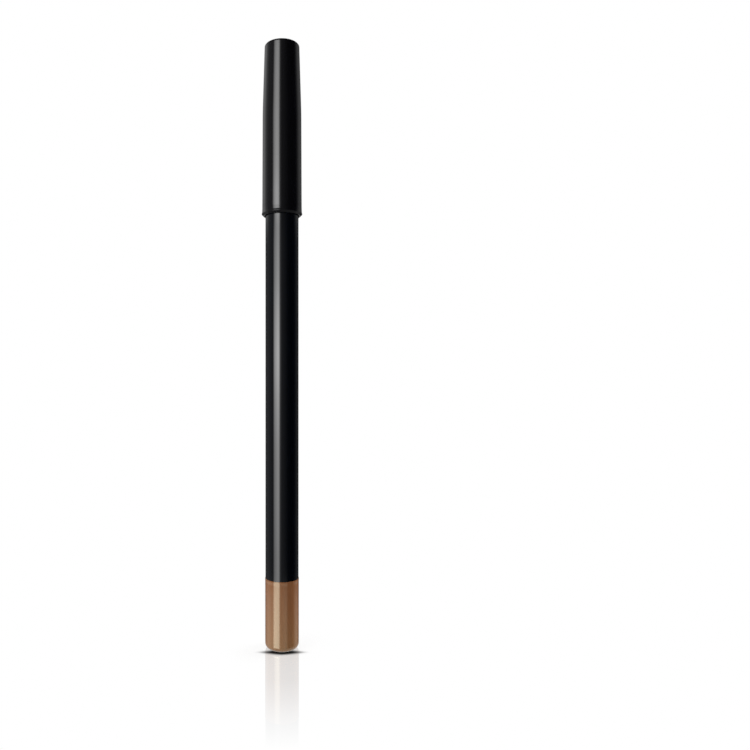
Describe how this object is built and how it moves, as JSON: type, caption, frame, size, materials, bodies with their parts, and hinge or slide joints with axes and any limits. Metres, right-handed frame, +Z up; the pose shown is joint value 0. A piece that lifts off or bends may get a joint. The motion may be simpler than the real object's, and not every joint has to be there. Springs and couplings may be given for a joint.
{
  "type": "lip liner pencil",
  "caption": "Round wooden lip liner pencil in black lacquer, with a brown dipped end, a brown core sharpened to a point and a black push-on cap that pulls off.",
  "frame": {"origin": "centre of the flat dipped end that the pencil stands on", "axes": "+Z up the pencil's axis to the point and the cap, -Y towards the front, where one facet of the point faces"},
  "size_m": [0.0098, 0.0098, 0.1453],
  "materials": {
    "core": "waxy brown pigment",
    "wood": "bare pale cedar, fine grain",
    "lacquer": "gloss black lacquer",
    "dip": "gloss brown dip lacquer",
    "cap": "polished black moulding"
  },
  "bodies": {
    "pencil": {"core": "core", "wood_half_front": "wood", "wood_half_back": "wood", "barrel_lacquer": "lacquer", "end_dip": "dip"},
    "cap": {"cap": "cap"}
  },
  "joints": [
    {"name": "cap_pull", "type": "slide", "parent": "pencil", "child": "cap", "axis": [0, 0, 1], "range_m": [0, 0.045]}
  ]
}
